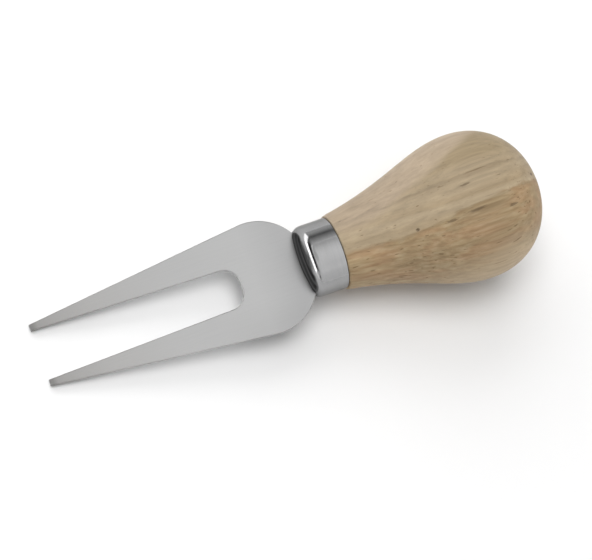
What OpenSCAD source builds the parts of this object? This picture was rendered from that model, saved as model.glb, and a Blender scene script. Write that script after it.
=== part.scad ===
// Two-tine cheese fork: a flat stamped steel blade, a drawn steel ferrule and a
// turned wooden handle, held together by a tang set in resin.
// The fork lies as it does on a table: on its two tine tips and on the bulb of
// the handle. X runs along the fork (tips at -X), Y across the blade, +Z up, and
// the origin is the middle of the bottom of its bounding box. Millimetres.

/* [Blade] */
// Thickness of the steel sheet
blade_t = 1.5; // [1.2:0.1:2]
// Length from the tine tips to the crown of the ferrule
blade_len = 58.8; // [58.4:0.2:66]
// Half-width across the outside of the tines at their tips
tip_half = 6.8; // [6:0.1:7.5]
// Width of one tine at its square-cut tip
tine_tip_w = 1.35; // [1:0.05:1.8]
// Distance from the tips to where the rounded shoulders begin
shoulder_x = 49; // [46:0.5:49.5]
// Half-width of the blade where the shoulders begin
shoulder_half = 12.35; // [11.6:0.05:13]
// Radius of the rounded shoulders
shoulder_r = 11; // [10.5:0.25:11.5]
// Depth of the slot between the tines
slot_len = 45.3; // [36:0.1:47]
// Half-width of the slot just before its root
slot_root_half = 4.4; // [4:0.05:5]
// Radius of the two rounded corners of the slot's root
slot_corner_r = 3.6; // [1:0.1:3.8]

/* [Tang] */
// Thickness of the neck and tang, pressed a little thinner than the sheet
neck_t = 1.3; // [1:0.05:1.4]
// Half-width of the blade's neck inside the ferrule
neck_half = 7.2; // [6.9:0.1:7.2]
// Width of the tang
tang_w = 5.6; // [4:0.1:6]
// Length of the tang behind the neck
tang_len = 27; // [15:0.5:34]

/* [Ferrule] */
// Outer radius of the ferrule
ferrule_r = 7.95; // [7.9:0.05:8.1]
// Length of the ferrule from its crown to its rear edge
ferrule_len = 8.25; // [7.5:0.05:11]
// Wall thickness of the ferrule
ferrule_wall = 0.55; // [0.4:0.05:0.7]
// Radius of the crowned front of the ferrule
crown_r = 34; // [22:1:60]
// Outer radius of the rounded corner between the crown and the side
corner_r = 2.3; // [1.6:0.1:2.8]

/* [Handle] */
// Radius of the handle where it meets the ferrule
neck_r = 8.3; // [8.1:0.05:9]
// Largest radius of the handle's bulb
bulb_r = 16.35; // [14:0.05:18]
// Distance from the ferrule to the widest point of the bulb
bulb_x = 31.8; // [28:0.1:36]
// Length of the handle behind the ferrule
handle_len = 47.4; // [45:0.05:56]
// Fullness of the rounded end, where 2 is a true ellipse
end_power = 2.15; // [2:0.05:2.4]
// Rounding of the handle's front edge
edge_r = 0.4; // [0.2:0.05:0.6]
// Diameter of the hole for the tang
bore_d = 6.8; // [6.4:0.1:8]

/* [Hidden] */

$fn = 96;
clear = 0.03;                       // play between parts that are seated together
slot_play = 0.08;                   // play of the blade in the ferrule's slot

// ---- blade ----
edge_k = (shoulder_half - tip_half) / shoulder_x;      // slope of the outer edge
edge_n = sqrt(1 + edge_k * edge_k);
sh_cx = shoulder_x + shoulder_r * edge_k / edge_n;     // centre of a shoulder arc,
sh_cy = shoulder_half - shoulder_r / edge_n;           // tangent to the outer edge
slot_tip_half = tip_half - tine_tip_w;
slot_cx = slot_len - slot_corner_r;                    // corner centres of the root
slot_k = (slot_tip_half - slot_root_half) / slot_cx;   // slope of the slot's side
slot_n = sqrt(1 + slot_k * slot_k);
slot_cy = slot_tip_half - slot_k * slot_cx - slot_corner_r * slot_n;
neck_end = blade_len + 2.2;                            // where the neck steps to the tang
tang_end = neck_end + tang_len;
edge_a = atan(1 / edge_k);                             // direction of the edge's normal
sh_a0 = 180 - edge_a;                                  // where the shoulder arc starts
sh_a1 = asin((neck_half - sh_cy) / shoulder_r);        // where it meets the neck
slot_a0 = atan(1 / slot_k);                            // where the root's corner arc starts

function back(v) = [for (i = [len(v) - 1:-1:0]) v[i]];

// One side of the blade, from the tip round the shoulder to the end of the tang
function edge_points(s) = concat(
    [[0, s * tip_half]],
    [for (i = [0:24]) let (a = sh_a0 + (sh_a1 - sh_a0) * i / 24)
        [sh_cx + shoulder_r * cos(a), s * (sh_cy + shoulder_r * sin(a))]],
    [[neck_end, s * neck_half], [neck_end, s * tang_w / 2],
        [tang_end - 3, s * tang_w / 2], [tang_end, s * tang_w / 4]]);

// One side of the slot, from the tip to the middle of its root
function slot_points(s) = concat(
    [[0, s * slot_tip_half]],
    [for (i = [0:14]) let (a = slot_a0 * (1 - i / 14))
        [slot_cx + slot_corner_r * cos(a), s * (slot_cy + slot_corner_r * sin(a))]]);

// ---- ferrule ----
corner_y = ferrule_r - corner_r;
crown_cx = blade_len + crown_r;
corner_x = crown_cx - sqrt(pow(crown_r - corner_r, 2) - pow(corner_y, 2));
crown_a = asin(corner_y / (crown_r - corner_r));       // half-angle of the crown
ferrule_end = blade_len + ferrule_len;
inner_r = ferrule_r - ferrule_wall;

// Half-profile of the cap's front, offset inwards by d: [radius, distance along the fork]
function cap_profile(d) = concat(
    [for (i = [0:8]) let (a = crown_a * i / 8)
        [(crown_r - d) * sin(a), crown_cx - (crown_r - d) * cos(a)]],
    [for (i = [1:10]) let (a = crown_a + (90 - crown_a) * i / 10)
        [corner_y + (corner_r - d) * sin(a), corner_x - (corner_r - d) * cos(a)]]);

// ---- handle ----
tenon_front = blade_len + 3.9;
tenon_r = inner_r - clear;
bore_end = tang_end + 1.6;

function bez(p0, p1, p2, p3, t) =
    p0 * pow(1 - t, 3) + p1 * 3 * t * pow(1 - t, 2) + p2 * 3 * t * t * (1 - t) + p3 * pow(t, 3);

// Half-profile of the handle behind the ferrule: [distance from the ferrule, radius]
flare_1 = [bulb_x * 0.52, neck_r + (bulb_r - neck_r) * 0.32];
flare_2 = [bulb_x * 0.725, bulb_r];
end_a = handle_len - bulb_x;
handle_profile = concat(
    [for (a = [0:22.5:90]) [edge_r * (1 - cos(a)), neck_r - edge_r + edge_r * sin(a)]],
    [for (i = [1:36]) bez([0, neck_r], flare_1, flare_2, [bulb_x, bulb_r], i / 36)],
    [for (i = [1:29]) let (a = 90 * i / 30)
        [bulb_x + end_a * pow(sin(a), 2 / end_power), bulb_r * pow(cos(a), 2 / end_power)]],
    [[handle_len, 0]]);

// The same profile along the fork: [radius, distance from the tine tips]
handle_points = [for (p = handle_profile)
    [p[1], ferrule_end + clear + p[0] * (1 - clear / handle_len)]];

// ---- resting position ----
// Tilt that lays the underside of the tips and of the bulb on one plane
tilt = max([for (q = handle_points) atan2(q[0] - blade_t / 2, q[1])]);
x_lo = -blade_t / 2 * sin(tilt);
x_hi = max([for (q = handle_points) q[1] * cos(tilt) + q[0] * sin(tilt)]);

module lay() {
    translate([-(x_lo + x_hi) / 2, 0, blade_t / 2 * cos(tilt)])
        rotate([0, -tilt, 0])
            children();
}

// Solid of revolution about the fork's own axis, from [radius, distance] points
module turned(points) {
    rotate([0, 90, 0])
        rotate_extrude()
            polygon(points);
}

// Outline of the blade with its slot, neck and tang
module blade_outline() {
    polygon(concat(edge_points(1), back(edge_points(-1)), slot_points(-1), back(slot_points(1))));
}

// Flat stamped blade: two tapering tines, shoulders, neck and hidden tang
module fork_blade() {
    color("Silver")
        lay()
            difference() {
                linear_extrude(height = blade_t, center = true)
                    blade_outline();
                for (z = [neck_t / 2, -neck_t / 2 - 2])
                    translate([blade_len - 0.2, -2 * shoulder_half, z])
                        cube([tang_len + 10, 4 * shoulder_half, 2]);
            }
}

// Drawn cap with a crowned front, slotted for the neck of the blade
module ferrule() {
    color("LightSteelBlue")
        lay()
            difference() {
                turned(concat(cap_profile(0), [[ferrule_r, ferrule_end], [0, ferrule_end]]));
                turned(concat(cap_profile(ferrule_wall), [[inner_r, ferrule_end + 1], [0, ferrule_end + 1]]));
                translate([blade_len - 1, -neck_half - 0.12, -neck_t / 2 - slot_play])
                    cube([neck_end - blade_len + 1.4, 2 * neck_half + 0.24, neck_t + 2 * slot_play]);
            }
}

// Turned handle: tenon for the ferrule, flared neck, round bulb and blind tang hole
module handle() {
    color("Tan")
        lay()
            difference() {
                turned(concat(
                    [[0, tenon_front], [tenon_r - 0.4, tenon_front], [tenon_r, tenon_front + 0.4],
                        [tenon_r, ferrule_end + clear]],
                    handle_points));
                translate([tenon_front - 1, 0, 0])
                    rotate([0, 90, 0])
                        cylinder(d = bore_d, h = bore_end - tenon_front + 1);
            }
}

// Cast resin that fills the ferrule's nose and the hole around the tang
module tang_adhesive() {
    color("Peru")
        lay()
            difference() {
                union() {
                    turned(concat(cap_profile(ferrule_wall + clear),
                        [[inner_r - clear, tenon_front - clear], [0, tenon_front - clear]]));
                    translate([tenon_front - 1, 0, 0])
                        rotate([0, 90, 0])
                            cylinder(d = bore_d - 2 * clear, h = bore_end - clear - tenon_front + 1);
                }
                translate([0, 0, -neck_t / 2 - clear])
                    linear_extrude(height = neck_t + 2 * clear) {
                        translate([blade_len - 3, -neck_half - clear])
                            square([neck_end + clear - blade_len + 3, 2 * neck_half + 2 * clear]);
                        polygon([
                            [neck_end - 1, -tang_w / 2 - clear], [tang_end - 3 + clear, -tang_w / 2 - clear],
                            [tang_end + clear, -tang_w / 4 - clear], [tang_end + clear, tang_w / 4 + clear],
                            [tang_end - 3 + clear, tang_w / 2 + clear], [neck_end - 1, tang_w / 2 + clear]
                        ]);
                    }
            }
}

fork_blade();
ferrule();
handle();
tang_adhesive();
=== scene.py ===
import math
import bmesh
import bpy
from mathutils import Matrix, Vector


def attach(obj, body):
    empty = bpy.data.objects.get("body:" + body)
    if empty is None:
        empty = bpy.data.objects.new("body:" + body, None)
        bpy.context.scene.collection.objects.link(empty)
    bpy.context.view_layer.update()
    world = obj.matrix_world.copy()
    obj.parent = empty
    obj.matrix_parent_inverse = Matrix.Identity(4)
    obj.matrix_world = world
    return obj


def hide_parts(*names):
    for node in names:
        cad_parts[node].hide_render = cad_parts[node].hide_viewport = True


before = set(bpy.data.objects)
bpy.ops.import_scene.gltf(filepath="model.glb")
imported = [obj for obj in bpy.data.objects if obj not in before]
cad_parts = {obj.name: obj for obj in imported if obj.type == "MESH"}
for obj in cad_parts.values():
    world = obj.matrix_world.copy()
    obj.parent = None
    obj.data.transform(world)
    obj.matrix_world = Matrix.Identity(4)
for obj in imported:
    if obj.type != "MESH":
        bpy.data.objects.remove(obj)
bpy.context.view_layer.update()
scene = bpy.context.scene
MM = 0.001

# ---------------------------------------------------------------- dimensions, mm
# Fork's own axis frame: x from the tine tips to the end of the handle, y across
# the blade, z out of the blade's upper face, with z = 0 in the middle of the sheet.
BLADE_T = 1.5
BLADE_LEN = 58.8
TIP_HALF = 6.8
TINE_TIP_W = 1.35
SHOULDER_X = 49.0
SHOULDER_HALF = 12.35
SHOULDER_R = 11.0
SLOT_LEN = 45.3
SLOT_ROOT_HALF = 4.4
SLOT_CORNER_R = 3.6
NECK_T = 1.3
NECK_HALF = 7.2
TANG_W = 5.6
TANG_LEN = 27.0
FERRULE_R = 7.95
FERRULE_LEN = 8.25
FERRULE_WALL = 0.55
CROWN_R = 34.0
CORNER_R = 2.3
NECK_R = 8.3
BULB_R = 16.35
BULB_X = 31.8
HANDLE_LEN = 47.4
END_POWER = 2.15
EDGE_R = 0.4
BORE_D = 6.8
PLAY = 0.03

FERRULE_END = BLADE_LEN + FERRULE_LEN
NECK_END = BLADE_LEN + 2.2
TANG_END = NECK_END + TANG_LEN
TENON_FRONT = BLADE_LEN + 3.9
INNER_R = FERRULE_R - FERRULE_WALL


def bez(p0, p1, p2, p3, t):
    a, b, c, d = (1 - t) ** 3, 3 * t * (1 - t) ** 2, 3 * t * t * (1 - t), t ** 3
    return tuple(a * u + b * v + c * w + d * q for u, v, w, q in zip(p0, p1, p2, p3))


def handle_profile(n_edge, n_flare, n_end):
    """(distance from the ferrule, radius), from the front edge to the end."""
    pts = []
    for i in range(n_edge + 1):
        a = math.pi / 2 * i / n_edge
        pts.append((EDGE_R * (1 - math.cos(a)), NECK_R - EDGE_R + EDGE_R * math.sin(a)))
    p1 = (BULB_X * 0.52, NECK_R + (BULB_R - NECK_R) * 0.32)
    p2 = (BULB_X * 0.725, BULB_R)
    for i in range(1, n_flare + 1):
        q = bez((0, NECK_R), p1, p2, (BULB_X, BULB_R), i / n_flare)
        if q[0] > EDGE_R + 0.3:
            pts.append(q)
    ea = HANDLE_LEN - BULB_X
    for i in range(1, n_end):
        a = math.pi / 2 * i / n_end
        pts.append((BULB_X + ea * math.sin(a) ** (2 / END_POWER), BULB_R * math.cos(a) ** (2 / END_POWER)))
    pts.append((HANDLE_LEN, 0.0))
    return pts


# The position in which it rests on its tips and its bulb, from the CAD profile.
cad_pts = [(FERRULE_END + PLAY + x * (1 - PLAY / HANDLE_LEN), r) for x, r in handle_profile(4, 36, 30)]
TILT = max(math.atan2(r - BLADE_T / 2, x) for x, r in cad_pts)
X_LO = -BLADE_T / 2 * math.sin(TILT)
X_HI = max(x * math.cos(TILT) + r * math.sin(TILT) for x, r in cad_pts)
LAY = (
    Matrix.Translation((-(X_LO + X_HI) / 2 * MM, 0, BLADE_T / 2 * math.cos(TILT) * MM))
    @ Matrix.Rotation(-TILT, 4, "Y")
)

# ---------------------------------------------------------------- camera
# Seen from above the tines, a little from the near side of the blade.
cam_data = bpy.data.cameras.new("camera")
cam = bpy.data.objects.new("camera", cam_data)
scene.collection.objects.link(cam)
scene.camera = cam
RIGHT = Vector((0.917154, -0.357732, 0.175662))
DOWN = Vector((-0.321037, -0.924341, -0.206225))
AHEAD = Vector((0.236144, 0.132746, -0.962608))
EYE = Vector((-64.127, -70.836, 493.573)) * MM
rot = Matrix((RIGHT, -DOWN, -AHEAD)).transposed().to_4x4()
cam.matrix_world = LAY @ Matrix.Translation(EYE) @ rot
cam_data.sensor_fit = "HORIZONTAL"
cam_data.sensor_width = 36.0
cam_data.lens = 2403.871 * 36.0 / 592.0
cam_data.clip_start = 0.01
cam_data.clip_end = 60.0

# ---------------------------------------------------------------- mesh helpers


def finish_mesh(name, bm, sharp_deg=38.0):
    """Bakes the bmesh, in millimetres and in the fork's axis frame, into a placed object."""
    bmesh.ops.recalc_face_normals(bm, faces=bm.faces)
    for f in bm.faces:
        f.smooth = True
    for e in bm.edges:
        e.smooth = not (len(e.link_faces) == 2 and e.calc_face_angle(0.0) > math.radians(sharp_deg))
    for v in bm.verts:
        v.co = LAY @ (v.co * MM)
    me = bpy.data.meshes.new(name)
    bm.to_mesh(me)
    bm.free()
    ob = bpy.data.objects.new(name, me)
    scene.collection.objects.link(ob)
    return ob


def cut_boxes(ob, boxes, sharp_deg):
    """Cuts boxes, given by their corners in the fork's axis frame, out of a piece."""
    cut = bmesh.new()
    for lo, hi in boxes:
        made = bmesh.ops.create_cube(cut, size=1.0)["verts"]
        for v in made:
            v.co = Vector([(a + b) / 2 + t * (b - a) for a, b, t in zip(lo, hi, v.co)])
    cutter = finish_mesh("cutter", cut)
    mod = ob.modifiers.new("cut", "BOOLEAN")
    mod.operation = "DIFFERENCE"
    mod.solver = "EXACT"
    mod.object = cutter
    bpy.context.view_layer.update()
    dg = bpy.context.evaluated_depsgraph_get()
    me = bpy.data.meshes.new_from_object(ob.evaluated_get(dg), depsgraph=dg)
    ob.modifiers.clear()
    old = ob.data
    ob.data = me
    me.name = ob.name
    cm = cutter.data
    bpy.data.objects.remove(cutter)
    bpy.data.meshes.remove(cm)
    bpy.data.meshes.remove(old)
    bm = bmesh.new()
    bm.from_mesh(me)
    bmesh.ops.remove_doubles(bm, verts=bm.verts, dist=2e-7)
    for f in bm.faces:
        f.smooth = True
    for e in bm.edges:
        e.smooth = not (len(e.link_faces) == 2 and e.calc_face_angle(0.0) > math.radians(sharp_deg))
    bm.to_mesh(me)
    bm.free()


def lathe(profile, segs):
    """Closed solid of revolution about x from (x, r) points that start and end on the axis."""
    bm = bmesh.new()
    rings = []
    for x, r in profile:
        if r < 1e-6:
            rings.append([bm.verts.new((x, 0, 0))])
        else:
            rings.append([
                bm.verts.new((x, r * math.cos(2 * math.pi * i / segs), r * math.sin(2 * math.pi * i / segs)))
                for i in range(segs)
            ])
    for a, b in zip(rings, rings[1:]):
        for i in range(segs):
            j = (i + 1) % segs
            if len(a) == 1 and len(b) == 1:
                continue
            if len(a) == 1:
                bm.faces.new((a[0], b[i], b[j]))
            elif len(b) == 1:
                bm.faces.new((a[i], b[0], a[j]))
            else:
                bm.faces.new((a[i], b[i], b[j], a[j]))
    return bm


# ---------------------------------------------------------------- blade


def blade_outline(n_shoulder, n_root):
    k = (SHOULDER_HALF - TIP_HALF) / SHOULDER_X
    n = math.hypot(1, k)
    cx = SHOULDER_X + SHOULDER_R * k / n
    cy = SHOULDER_HALF - SHOULDER_R / n
    a0 = math.pi / 2 + math.atan(k)
    a1 = math.asin((NECK_HALF - cy) / SHOULDER_R)
    up = [(0.0, TIP_HALF)]
    for i in range(n_shoulder + 1):
        a = a0 + (a1 - a0) * i / n_shoulder
        up.append((cx + SHOULDER_R * math.cos(a), cy + SHOULDER_R * math.sin(a)))
    up += [(NECK_END, NECK_HALF), (NECK_END, TANG_W / 2), (TANG_END - 3, TANG_W / 2), (TANG_END, TANG_W / 4)]
    half = TIP_HALF - TINE_TIP_W
    sx = SLOT_LEN - SLOT_CORNER_R
    sk = (half - SLOT_ROOT_HALF) / sx
    sy = half - sk * sx - SLOT_CORNER_R * math.hypot(1, sk)
    s0 = math.pi / 2 - math.atan(sk)
    slot = [(0.0, half)]
    for i in range(n_root + 1):
        a = s0 * (1 - i / n_root)
        slot.append((sx + SLOT_CORNER_R * math.cos(a), sy + SLOT_CORNER_R * math.sin(a)))
    pts = up + [(x, -y) for x, y in reversed(up)]
    pts += [(x, -y) for x, y in slot] + list(reversed(slot))
    return pts


def inset(pts, d):
    """The outline moved inwards by d, corner by corner."""
    area = sum(a[0] * b[1] - b[0] * a[1] for a, b in zip(pts, pts[1:] + pts[:1]))
    s = 1.0 if area > 0 else -1.0
    out = []
    for i, p in enumerate(pts):
        a, b = Vector(pts[i - 1]), Vector(pts[(i + 1) % len(pts)])
        q = Vector(p)
        u, v = (q - a).normalized(), (b - q).normalized()
        n1, n2 = Vector((-u.y, u.x)) * s, Vector((-v.y, v.x)) * s
        m = n1 + n2
        m /= max(m.dot(n1), 0.2)
        out.append((q.x + m.x * d, q.y + m.y * d))
    return out


def make_blade():
    pts = blade_outline(48, 28)
    e, n = 0.2, 5
    rings = [(e, -BLADE_T / 2)]
    for i in range(1, n + 1):
        a = math.pi / 2 * i / n
        rings.append((e * (1 - math.sin(a)), -BLADE_T / 2 + e * (1 - math.cos(a))))
    for i in range(n + 1):
        a = math.pi / 2 * i / n
        rings.append((e * (1 - math.cos(a)), BLADE_T / 2 - e * (1 - math.sin(a))))
    bm = bmesh.new()
    loops = [[bm.verts.new((x, y, z)) for x, y in inset(pts, d)] for d, z in rings]
    m = len(pts)
    for a, b in zip(loops, loops[1:]):
        for i in range(m):
            j = (i + 1) % m
            bm.faces.new((a[i], a[j], b[j], b[i]))
    caps = [bm.faces.new(loops[0]), bm.faces.new(loops[-1])]
    bmesh.ops.triangulate(bm, faces=caps)
    ob = finish_mesh("blade_steel_piece", bm, 50.0)
    # Neck and tang, pressed a little thinner than the sheet.
    x0, x1, w = BLADE_LEN - 0.2, TANG_END + 2, 2 * SHOULDER_HALF
    cut_boxes(ob, [((x0, -w, NECK_T / 2), (x1, w, 2)), ((x0, -w, -2), (x1, w, -NECK_T / 2))], 50.0)
    # The flat faces keep their own flat shading up to the rounded edge.
    up = (LAY.to_3x3() @ Vector((0, 0, 1))).normalized()
    bm = bmesh.new()
    bm.from_mesh(ob.data)
    for ed in bm.edges:
        fs = [abs(f.normal.dot(up)) > 0.99999 for f in ed.link_faces]
        if len(fs) == 2 and fs[0] != fs[1]:
            ed.smooth = False
    bm.to_mesh(ob.data)
    bm.free()
    return ob


# ---------------------------------------------------------------- ferrule


def cap_profile(d, n_crown, n_corner):
    cy = FERRULE_R - CORNER_R
    ccx = BLADE_LEN + CROWN_R
    cx = ccx - math.sqrt((CROWN_R - CORNER_R) ** 2 - cy ** 2)
    a0 = math.asin(cy / (CROWN_R - CORNER_R))
    pts = []
    for i in range(n_crown + 1):
        a = a0 * i / n_crown
        pts.append((ccx - (CROWN_R - d) * math.cos(a), (CROWN_R - d) * math.sin(a)))
    for i in range(1, n_corner + 1):
        a = a0 + (math.pi / 2 - a0) * i / n_corner
        pts.append((cx - (CORNER_R - d) * math.cos(a), cy + (CORNER_R - d) * math.sin(a)))
    return pts


def make_ferrule():
    outer = cap_profile(0.0, 24, 28)
    inner = cap_profile(FERRULE_WALL, 10, 12)
    last = outer[-1][0]
    wall = [(last + (FERRULE_END - 0.2 - last) * i / 12, FERRULE_R) for i in range(1, 13)]
    lip = [
        (FERRULE_END - 0.2 + 0.2 * math.sin(a), FERRULE_R - 0.2 + 0.2 * math.cos(a))
        for a in (math.pi / 2 * i / 5 for i in range(1, 6))
    ]
    back = [(FERRULE_END, INNER_R)]
    bm = lathe(outer + wall + lip + back + list(reversed(inner)), 224)
    ob = finish_mesh("ferrule_piece", bm, 40.0)
    # Slot for the neck of the blade.
    y, z = NECK_HALF + 0.12, NECK_T / 2 + 0.08
    cut_boxes(ob, [((BLADE_LEN - 1, -y, -z), (NECK_END + 0.4, y, z))], 32.0)
    return ob


# ---------------------------------------------------------------- handle


def make_handle():
    outer = [(FERRULE_END + PLAY + x * (1 - PLAY / HANDLE_LEN), r) for x, r in handle_profile(8, 90, 70)]
    bore = BORE_D / 2
    inner = [
        (TANG_END + 1.6, 0.0), (TANG_END + 1.6, bore), (TENON_FRONT, bore),
        (TENON_FRONT, INNER_R - PLAY - 0.4), (TENON_FRONT + 0.4, INNER_R - PLAY),
        (FERRULE_END + PLAY, INNER_R - PLAY),
    ]
    bm = lathe(inner + outer, 224)
    return finish_mesh("handle_wood_piece", bm, 40.0)


# ---------------------------------------------------------------- node helpers


class Kit:
    """Short names for building a node tree."""

    def __init__(self, tree):
        self.t = tree
        self.t.nodes.clear()

    def split(self, v):
        n = self.t.nodes.new("ShaderNodeSeparateXYZ")
        self.t.links.new(v, n.inputs[0])
        return n.outputs

    def put(self, sock, v):
        if isinstance(v, bpy.types.NodeSocket):
            self.t.links.new(v, sock)
        elif v is not None:
            sock.default_value = v

    def math(self, op, a, b=None, c=None, clamp=False):
        n = self.t.nodes.new("ShaderNodeMath")
        n.operation = op
        n.use_clamp = clamp
        for s, v in zip(n.inputs, (a, b, c)):
            self.put(s, v)
        return n.outputs[0]

    def vec(self, x, y, z):
        n = self.t.nodes.new("ShaderNodeCombineXYZ")
        for s, v in zip(n.inputs, (x, y, z)):
            self.put(s, v)
        return n.outputs[0]

    def times(self, v, k):
        n = self.t.nodes.new("ShaderNodeVectorMath")
        n.operation = "MULTIPLY"
        self.put(n.inputs[0], v)
        self.put(n.inputs[1], k)
        return n.outputs[0]

    def add(self, v, k):
        n = self.t.nodes.new("ShaderNodeVectorMath")
        n.operation = "ADD"
        self.put(n.inputs[0], v)
        self.put(n.inputs[1], k)
        return n.outputs[0]

    def length(self, v):
        n = self.t.nodes.new("ShaderNodeVectorMath")
        n.operation = "LENGTH"
        self.put(n.inputs[0], v)
        return n.outputs["Value"]

    def noise(self, v, scale=1.0, detail=2.0, rough=0.5, distort=0.0, colour=False):
        n = self.t.nodes.new("ShaderNodeTexNoise")
        n.noise_dimensions = "3D"
        self.put(n.inputs["Vector"], v)
        n.inputs["Scale"].default_value = scale
        n.inputs["Detail"].default_value = detail
        n.inputs["Roughness"].default_value = rough
        n.inputs["Distortion"].default_value = distort
        return n.outputs[1 if colour else 0]

    def ease(self, v, a, b, c=0.0, d=1.0):
        n = self.t.nodes.new("ShaderNodeMapRange")
        n.interpolation_type = "SMOOTHSTEP"
        self.put(n.inputs[0], v)
        for s, k in zip(list(n.inputs)[1:5], (a, b, c, d)):
            self.put(s, k)
        return n.outputs[0]

    def span(self, v, a, b, c=0.0, d=1.0):
        n = self.t.nodes.new("ShaderNodeMapRange")
        self.put(n.inputs[0], v)
        for s, k in zip(list(n.inputs)[1:5], (a, b, c, d)):
            self.put(s, k)
        return n.outputs[0]

    def ramp(self, v, stops, mode="LINEAR"):
        n = self.t.nodes.new("ShaderNodeValToRGB")
        r = n.color_ramp
        r.interpolation = mode
        while len(r.elements) > 1:
            r.elements.remove(r.elements[-1])
        for i, (pos, col) in enumerate(stops):
            el = r.elements[0] if i == 0 else r.elements.new(pos)
            el.position = pos
            el.color = (*col, 1.0)
        self.put(n.inputs[0], v)
        return n.outputs[0]

    def mix(self, fac, a, b, blend="MIX"):
        n = self.t.nodes.new("ShaderNodeMix")
        n.data_type = "RGBA"
        n.blend_type = blend
        n.clamp_factor = True
        self.put(n.inputs[0], fac)
        for s, v in ((n.inputs[6], a), (n.inputs[7], b)):
            if isinstance(v, tuple) and len(v) == 3:
                v = (*v, 1.0)
            self.put(s, v)
        return n.outputs[2]

    def gain(self, col, k):
        """Multiplies a colour by a grey factor."""
        n = self.t.nodes.new("ShaderNodeVectorMath")
        n.operation = "SCALE"
        self.put(n.inputs[0], col)
        self.put(n.inputs["Scale"], k)
        return n.outputs[0]

    def bump(self, height, strength, dist, normal=None):
        n = self.t.nodes.new("ShaderNodeBump")
        n.inputs["Strength"].default_value = strength
        n.inputs["Distance"].default_value = dist
        self.put(n.inputs["Height"], height)
        if normal is not None:
            self.put(n.inputs["Normal"], normal)
        return n.outputs[0]


class Mat(Kit):
    """A material whose p, x, y and z are millimetres in the fork's axis frame."""

    def __init__(self, name):
        self.m = bpy.data.materials.new(name)
        self.m.use_nodes = True
        super().__init__(self.m.node_tree)
        self.out = self.t.nodes.new("ShaderNodeOutputMaterial")
        self.b = self.t.nodes.new("ShaderNodeBsdfPrincipled")
        self.t.links.new(self.b.outputs[0], self.out.inputs[0])
        co = self.t.nodes.new("ShaderNodeTexCoord")
        un = self.t.nodes.new("ShaderNodeMapping")
        un.vector_type = "TEXTURE"
        un.inputs["Location"].default_value = LAY.to_translation()
        un.inputs["Rotation"].default_value = LAY.to_euler("XYZ")
        un.inputs["Scale"].default_value = (MM, MM, MM)
        self.t.links.new(co.outputs["Object"], un.inputs[0])
        self.p = un.outputs[0]
        self.x, self.y, self.z = self.split(self.p)


# ---------------------------------------------------------------- materials


def satin_steel():
    """Fine satin sheet: short hairlines along the tines, with painted shade: warmer and darker towards the tips, a
    little darker just before the ferrule and on the near half of the shoulder.
    """
    m = Mat("satin_steel")
    hair = m.noise(m.times(m.p, (0.10, 5.0, 5.0)), 1.0, 4.0, 0.6)
    grit = m.noise(m.p, 7.0, 3.0, 0.6)
    cloud = m.noise(m.times(m.p, (0.05, 0.09, 0.09)), 1.0, 2.0, 0.5)
    # Painted shade along the length: the base darkens towards the tips and again just before the ferrule.
    tone = m.span(m.x, 0.0, 56.0)
    base_with_painted_shade = m.ramp(tone, [
        (0.0, (0.205, 0.201, 0.197)), (0.012, (0.222, 0.218, 0.213)), (0.030, (0.300, 0.294, 0.287)),
        (0.10, (0.332, 0.326, 0.320)), (0.25, (0.372, 0.367, 0.362)),
        (0.55, (0.400, 0.399, 0.398)), (0.86, (0.418, 0.418, 0.417)), (1.0, (0.374, 0.374, 0.375)),
    ])
    k = m.math("ADD", m.span(hair, 0.25, 0.75, -0.03, 0.03), m.span(cloud, 0.3, 0.7, 0.975, 1.025))
    k = m.math("ADD", k, m.span(grit, 0.3, 0.7, -0.015, 0.015))
    # Painted shade: the near (-y) half of the shoulder is darkened by up to a tenth.
    k = m.math("SUBTRACT", k, m.math("MULTIPLY", m.ease(m.y, -3.0, -12.0, 0.0, 0.10), m.ease(m.x, 30.0, 54.0)))
    m.put(m.b.inputs["Base Color"], m.gain(base_with_painted_shade, k))
    m.b.inputs["Metallic"].default_value = 1.0
    rough = m.math("ADD", m.span(hair, 0.25, 0.75, 0.29, 0.36), m.span(cloud, 0.3, 0.7, -0.02, 0.02))
    m.put(m.b.inputs["Roughness"], rough)
    h = m.math("ADD", m.math("MULTIPLY", hair, 0.7), m.math("MULTIPLY", grit, 0.3))
    m.put(m.b.inputs["Normal"], m.bump(h, 0.06, 0.00004))
    return m.m


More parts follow.
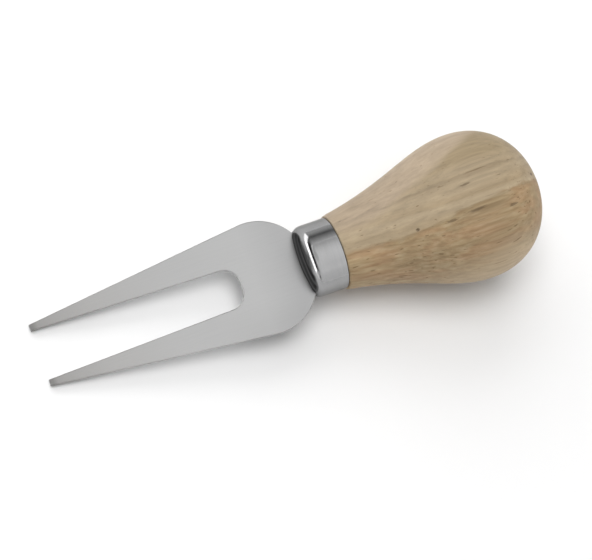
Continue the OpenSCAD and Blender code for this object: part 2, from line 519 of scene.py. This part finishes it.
def polished_steel():
    """Drawn and buffed cap: fine rings around its axis, wipe marks, and a crown beside the blade
    darkened in streaks, a painted reflection of dark surroundings, and a little rougher there."""
    m = Mat("polished_steel")
    rad = m.length(m.vec(0.0, m.y, m.z))
    rings = m.noise(m.vec(m.math("MULTIPLY", m.x, 6.0), m.math("MULTIPLY", rad, 6.0), 0.0), 1.0, 3.0, 0.6)
    wipe = m.noise(m.times(m.p, (0.5, 0.22, 0.22)), 1.0, 3.0, 0.55)
    # Painted reflection: the crown beside the blade is darkened in wavy streaks to between 0.13 and 0.74 of the base.
    crown = m.math("MULTIPLY", m.ease(rad, 7.35, 6.75), m.ease(m.x, 60.4, 59.9))
    waver = m.noise(m.vec(m.math("MULTIPLY", m.z, 0.4), m.math("MULTIPLY", m.y, 0.10), 2.3), 1.0, 2.0, 0.5)
    reflection_streak = m.math("SINE", m.math("ADD", m.math("MULTIPLY", m.z, 3.4), m.span(waver, 0.3, 0.7, -1.5, 1.5)))
    hair = m.noise(m.vec(m.math("MULTIPLY", m.z, 2.6), m.math("MULTIPLY", m.y, 0.09), 6.1), 1.0, 2.0, 0.5)
    reflection_streak = m.math("ADD", m.math("MULTIPLY", reflection_streak, 0.72), m.span(hair, 0.3, 0.7, -0.45, 0.45))
    k = m.math("ADD", m.span(rings, 0.3, 0.7, -0.02, 0.02), m.span(wipe, 0.3, 0.7, 0.96, 1.04))
    painted_reflection = m.span(reflection_streak, -0.8, 0.95, 0.13, 0.74)
    k = m.math("MULTIPLY", k, m.math("ADD", 1.0, m.math("MULTIPLY", crown, m.math("SUBTRACT", painted_reflection, 1.0))))
    m.put(m.b.inputs["Base Color"], m.gain((0.330, 0.330, 0.332), k))
    m.b.inputs["Metallic"].default_value = 1.0
    m.b.inputs["Specular Tint"].default_value = (0.58, 0.58, 0.58, 1.0)
    m.put(m.b.inputs["Roughness"], m.math("ADD", m.span(wipe, 0.3, 0.7, 0.10, 0.17), m.math("MULTIPLY", crown, 0.08)))
    m.put(m.b.inputs["Normal"], m.bump(rings, 0.05, 0.00003))
    return m.m


def pale_wood():
    """Pale straight-grained hardwood, sanded and oiled: growth layers, fibres and open pores."""
    m = Mat("pale_wood")
    # Slow drift of the grain.
    drift = m.noise(m.times(m.p, (0.016, 0.05, 0.05)), 1.0, 2.0, 0.5, colour=True)
    p = m.add(m.p, m.times(m.add(drift, (-0.5, -0.5, -0.5)), (0.0, 2.0, 2.0)))
    px, py, pz = m.split(p)
    fibre = m.noise(m.times(p, (0.030, 0.60, 0.60)), 1.0, 4.0, 0.58)
    strand = m.noise(m.add(m.times(p, (0.060, 1.25, 1.25)), (5.0, 1.0, 8.0)), 1.0, 2.0, 0.5)
    fine = m.noise(m.times(p, (0.28, 4.5, 4.5)), 1.0, 3.0, 0.6)
    # Growth layers across the blank: pale wood with one broad redder layer.
    rad = m.length(m.vec(0.0, m.y, m.z))
    lean = m.math("MULTIPLY", m.math("SUBTRACT", rad, m.z), 0.24)
    ragged = m.math("SUBTRACT", m.math("ADD", py, m.span(strand, 0.3, 0.7, -0.30, 0.30)), lean)
    edge = m.math("ADD", m.span(px, 84.0, 112.0, -3.4, -0.6), m.span(px, 67.0, 80.0, 1.1, 0.0))
    top = m.math("SUBTRACT", ragged, edge)
    foot = m.math("ADD", m.math("SUBTRACT", py, m.ease(px, 92.0, 106.0, 0.0, 2.6)), m.span(fibre, 0.3, 0.7, -1.0, 1.0))
    soft = m.math("MULTIPLY", top, m.span(px, 72.0, 96.0, 0.40, 1.0))
    layer = m.math("MULTIPLY", m.ease(soft, 0.35, -0.40), m.ease(foot, -16.8, -10.6))
    q = m.math("ADD", m.math("MULTIPLY", py, 0.96), m.math("MULTIPLY", pz, 0.28))
    bands = m.noise(m.vec(m.math("MULTIPLY", q, 0.42), m.math("MULTIPLY", px, 0.008), 3.7), 1.0, 3.0, 0.6)
    light = m.ramp(bands, [(0.28, (0.354, 0.280, 0.184)), (0.5, (0.327, 0.256, 0.164)), (0.72, (0.291, 0.220, 0.133))])
    # Painted sheen: the far flank is made paler still, up to a slanting growth line.
    slant = m.math("ADD", m.math("SUBTRACT", px, m.math("MULTIPLY", py, 2.2)), m.span(fibre, 0.3, 0.7, -1.2, 1.2))
    light = m.mix(m.math("MULTIPLY", m.ease(slant, 73.6, 67.4, 0.0, 0.85), m.ease(py, 0.5, 5.0)), light, m.gain((0.388, 0.304, 0.215), m.ease(px, 80.0, 93.0, 0.95, 1.06)))
    light = m.mix(m.math("MULTIPLY", m.ease(py, 5.0, 9.0, 0.0, 0.60), m.ease(slant, 70.5, 74.0)), light, (0.250, 0.186, 0.100))
    # Painted fill light: the near underside is made paler.
    light = m.mix(m.ease(py, -9.8, -14.2, 0.0, 0.8), light, (0.436, 0.334, 0.214))
    # Seen from the end the fibres are only a fine, even stipple.
    along = m.ease(px, 113.0, 103.0, 0.30, 1.0)
    strand = m.math("ADD", 0.5, m.math("MULTIPLY", m.math("SUBTRACT", strand, 0.5), along))
    dark = m.ramp(strand, [(0.26, (0.236, 0.150, 0.075)), (0.5, (0.290, 0.197, 0.104)), (0.72, (0.340, 0.250, 0.146))])
    hue = m.noise(m.add(m.times(p, (0.040, 0.42, 0.42)), (2.0, 9.0, 4.0)), 1.0, 2.0, 0.5)
    dark = m.mix(m.ease(hue, 0.40, 0.62), m.times(dark, (0.970, 1.02, 1.035)), m.times(dark, (1.030, 0.985, 0.99)))
    dark = m.gain(dark, m.ease(px, 83.0, 71.0, 1.0, 1.09))
    dark = m.gain(dark, m.math("SUBTRACT", 1.0, m.math("MULTIPLY", m.ease(px, 86.0, 94.0, 0.0, 0.07), m.math("MULTIPLY", m.ease(px, 106.0, 100.0), m.ease(py, -8.0, -5.0)))))
    col = m.mix(m.math("MULTIPLY", layer, 0.90), light, dark)
    # Painted light and shade: the end of the bulb is made up to 12% paler, the near side up to 9% paler and the far
    # side up to 7.5% darker.
    col = m.gain(col, m.ease(px, 98.0, 109.0, 1.0, 1.12))
    col = m.gain(col, m.ease(py, 9.0, -7.0, 0.925, 1.09))
    # A thin late-wood line where the layer begins.
    rim = m.math("MULTIPLY", m.ease(m.math("ABSOLUTE", m.math("ADD", top, 0.25)), 0.55, 0.05, 0.0, 0.14), m.ease(pz, 1.0, 5.0))
    col = m.gain(col, m.math("SUBTRACT", 1.0, m.math("MULTIPLY", rim, m.ease(strand, 0.35, 0.6))))
    # Thin darker late-wood lines.
    line = m.math("ABSOLUTE", m.math("SUBTRACT", m.math("ADD", py, m.span(fibre, 0.3, 0.7, -0.5, 0.5)), 4.6))
    col = m.gain(col, m.ease(line, 0.0, 0.75, 0.86, 1.0))
    # Growth rings: faint lines about 2 mm apart that show as ovals on the bulb's sides.
    ring_q = m.math("ADD", m.math("MULTIPLY", py, 0.52), m.math("MULTIPLY", pz, 0.06))
    ring_q = m.math("ADD", ring_q, m.span(fibre, 0.3, 0.7, -0.28, 0.28))
    tooth = m.math("MULTIPLY", m.math("ABSOLUTE", m.math("SUBTRACT", m.math("FRACT", ring_q), 0.5)), 2.0)
    late = m.math("MULTIPLY", m.ease(tooth, 0.55, 1.0), m.ease(bands, 0.34, 0.62, 0.35, 1.0))
    late = m.math("MULTIPLY", late, m.span(layer, 0.0, 1.0, 0.085, 0.045))
    col = m.gain(col, m.math("SUBTRACT", 1.018, late))
    k = m.math("ADD", m.span(fibre, 0.28, 0.72, 0.89, 1.12), m.span(fine, 0.28, 0.72, -0.05, 0.05))
    k = m.math("ADD", k, m.math("MULTIPLY", m.span(strand, 0.28, 0.72, -0.08, 0.08), m.span(layer, 0.0, 1.0, 1.0, 0.5)))
    col = m.gain(col, k)
    # Open pores: short dark dashes along the grain.
    pore_n = m.noise(m.add(m.times(p, (0.17, 1.9, 1.9)), (3.1, 7.7, 1.9)), 1.0, 1.5, 0.5)
    pores = m.ease(pore_n, m.span(layer, 0.0, 1.0, 0.680, 0.645), m.span(layer, 0.0, 1.0, 0.760, 0.735))
    small_n = m.noise(m.add(m.times(p, (0.45, 5.2, 5.2)), (11.0, 2.5, 6.1)), 1.0, 1.0, 0.5)
    small = m.ease(small_n, 0.67, 0.75)
    col = m.mix(m.math("MULTIPLY", pores, 0.55), col, (0.125, 0.076, 0.038))
    col = m.mix(m.math("MULTIPLY", small, 0.32), col, (0.150, 0.098, 0.052))
    # A few larger marks: centre in mm, half-length along the grain, half-width.
    for cx, cy, cz, hl, hw, amount in (
        (82.7, -2.9, 11.8, 0.50, 0.40, 0.85),
        (95.0, 2.4, 15.8, 1.5, 0.30, 0.60),
        (95.5, -3.5, 15.7, 2.6, 0.36, 0.62),
        (89.7, -3.8, 14.1, 1.7, 0.36, 0.58),
        (103.6, -4.9, 15.0, 1.3, 0.40, 0.62),
        (111.2, 0.6, 10.3, 0.6, 0.40, 0.75),
    ):
        d = m.length(m.times(m.add(m.p, (-cx, -cy, -cz)), (1 / hl, 1 / hw, 1 / (hw * 3))))
        d = m.math("ADD", d, m.span(fine, 0.3, 0.7, -0.35, 0.35))
        col = m.mix(m.ease(d, 1.05, 0.45, 0.0, amount), col, (0.085, 0.052, 0.030))
    m.put(m.b.inputs["Base Color"], col)
    m.put(m.b.inputs["Roughness"], m.math("ADD", m.span(fibre, 0.3, 0.7, 0.60, 0.52), m.math("MULTIPLY", pores, 0.25)))
    m.b.inputs["Specular IOR Level"].default_value = 0.3
    h = m.math("SUBTRACT", m.math("MULTIPLY", fine, 0.2), m.math("ADD", pores, m.math("MULTIPLY", small, 0.4)))
    h = m.math("ADD", h, m.math("MULTIPLY", strand, 0.3))
    m.put(m.b.inputs["Normal"], m.bump(h, 0.22, 0.00007))
    return m.m


def resin():
    """Amber casting resin, cloudy, seen only in the gap beside the neck."""
    m = Mat("amber_resin")
    cloud = m.noise(m.p, 0.5, 3.0, 0.55)
    m.put(m.b.inputs["Base Color"], m.ramp(cloud, [(0.3, (0.10, 0.07, 0.04)), (0.7, (0.16, 0.11, 0.06))]))
    m.put(m.b.inputs["Roughness"], m.span(cloud, 0.3, 0.7, 0.25, 0.4))
    return m.m


def pale_floor():
    """Matt white sweep with a trace of tone."""
    m = Mat("pale_floor")
    n = m.noise(m.p, 0.004, 2.0, 0.5)
    m.put(m.b.inputs["Base Color"], m.ramp(n, [(0.2, (0.890, 0.890, 0.890)), (0.8, (0.900, 0.900, 0.900))]))
    m.b.inputs["Roughness"].default_value = 0.9
    m.b.inputs["Specular IOR Level"].default_value = 0.1
    return m.m


# ---------------------------------------------------------------- pieces
for piece, node, slot, mat in (
    (make_blade(), "fork_blade", "blade_steel", satin_steel()),
    (make_ferrule(), "ferrule", "ferrule_steel", polished_steel()),
    (make_handle(), "handle", "handle_wood", pale_wood()),
):
    piece.data.materials.clear()
    piece.data.materials.append(mat)
    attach(piece, "root")
    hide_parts(node)

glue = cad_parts["tang_adhesive"]
glue.data.materials.clear()
glue.data.materials.append(resin())

# ---------------------------------------------------------------- floor
bm = bmesh.new()
bmesh.ops.create_grid(bm, x_segments=8, y_segments=8, size=4.0)
me = bpy.data.meshes.new("floor")
bm.to_mesh(me)
bm.free()
floor = bpy.data.objects.new("floor", me)
scene.collection.objects.link(floor)
floor.location = (0, 0, -0.00002)
floor.data.materials.append(pale_floor())

# ---------------------------------------------------------------- light
# A bright ceiling that falls off to dim walls, darkest in front and in a line
# along the far wall.
world = bpy.data.worlds.new("studio")
scene.world = world
world.use_nodes = True
w = Kit(world.node_tree)
w_co = w.t.nodes.new("ShaderNodeTexCoord").outputs["Generated"]
wx, wy, wz = w.split(w_co)
near = w.ramp(wz, [
    (0.0, (1.37,) * 3), (0.04, (1.30,) * 3), (0.06, (0.96,) * 3), (0.10, (0.96,) * 3), (0.125, (0.20,) * 3), (0.46, (0.28,) * 3), (0.64, (0.44,) * 3), (0.84, (0.42,) * 3),
    (1.0, (0.56,) * 3),
])
far = w.ramp(wz, [
    (0.0, (0.82,) * 3), (0.15, (0.70,) * 3), (0.30, (0.44,) * 3), (0.41, (0.16,) * 3), (0.53, (0.38,) * 3),
    (0.64, (0.58,) * 3), (0.745, (0.84,) * 3), (0.77, (0.04,) * 3), (0.84, (0.05,) * 3), (1.0, (0.56,) * 3),
])
sky = w.mix(w.ease(wy, -0.12, 0.12), near, far)
front = w.math("MULTIPLY", w.ease(wx, -0.25, -0.60), w.math("MULTIPLY", w.ease(wz, 0.18, 0.30), w.ease(wz, 0.76, 0.60)))
sky = w.gain(sky, w.math("SUBTRACT", 1.0, w.math("MULTIPLY", front, 0.85)))
gap = w.t.nodes.new("ShaderNodeVectorMath")
gap.operation = "DOT_PRODUCT"
w.put(gap.inputs[0], w_co)
gap.inputs[1].default_value = (-0.389, 0.0, 0.921)
sky = w.gain(sky, w.ease(gap.outputs["Value"], 0.93, 0.985, 1.0, 0.4))
path = w.t.nodes.new("ShaderNodeLightPath")
bg = w.t.nodes.new("ShaderNodeBackground")
sky = w.gain(sky, w.span(path.outputs["Is Diffuse Ray"], 0.0, 1.0, 1.0, 0.8))
w.put(bg.inputs["Color"], w.mix(path.outputs["Is Camera Ray"], sky, (0.93, 0.93, 0.93)))
bg.inputs["Strength"].default_value = 1.0
w.t.links.new(bg.outputs[0], w.t.nodes.new("ShaderNodeOutputWorld").inputs[0])


def softbox(name, place, target, size_x, size_y, radiance, diffuse=True, glossy=True):
    d = bpy.data.lights.new(name, "AREA")
    d.shape = "RECTANGLE"
    d.size, d.size_y = size_x, size_y
    d.energy = radiance * math.pi * size_x * size_y
    o = bpy.data.objects.new(name, d)
    scene.collection.objects.link(o)
    o.location = place
    o.rotation_mode = "QUATERNION"
    o.rotation_quaternion = (Vector(target) - Vector(place)).to_track_quat("-Z", "Y")
    o.visible_camera = False
    o.visible_diffuse = diffuse
    o.visible_glossy = glossy
    return o


softbox("overhead", (-0.31, 0.22, 1.48), (0.0, 0.0, 0.0), 0.80, 0.90, 6.9, glossy=False)
softbox("far_fill", (-0.15, 0.95, 0.80), (0.0, 0.0, 0.0), 1.60, 0.80, 2.2, glossy=False)
softbox("near_fill", (0.45, -1.02, 0.30), (0.03, 0.0, 0.01), 1.00, 0.30, 2.0, glossy=False)
softbox("ceiling", (0.45, -0.55, 0.489), (0.45, -0.437, 0.0), 2.1, 2.448, 0.85, diffuse=False)
softbox("corner_card", (-0.56, -0.50, 0.165), (0.0, 0.0, 0.02), 0.30, 0.33, 0.80, diffuse=False)
softbox("front_strip", (-0.633, 0.123, 0.125), (0.0, 0.0, 0.02), 1.12, 0.24, 3.5, diffuse=False)
softbox("far_strip", (-0.24, 0.60, 0.125), (0.0, 0.0, 0.02), 0.37, 0.24, 2.4, diffuse=False)

scene.view_settings.view_transform = "Standard"
scene.view_settings.look = "None"
scene.view_settings.exposure = 0.0
scene.view_settings.gamma = 1.0
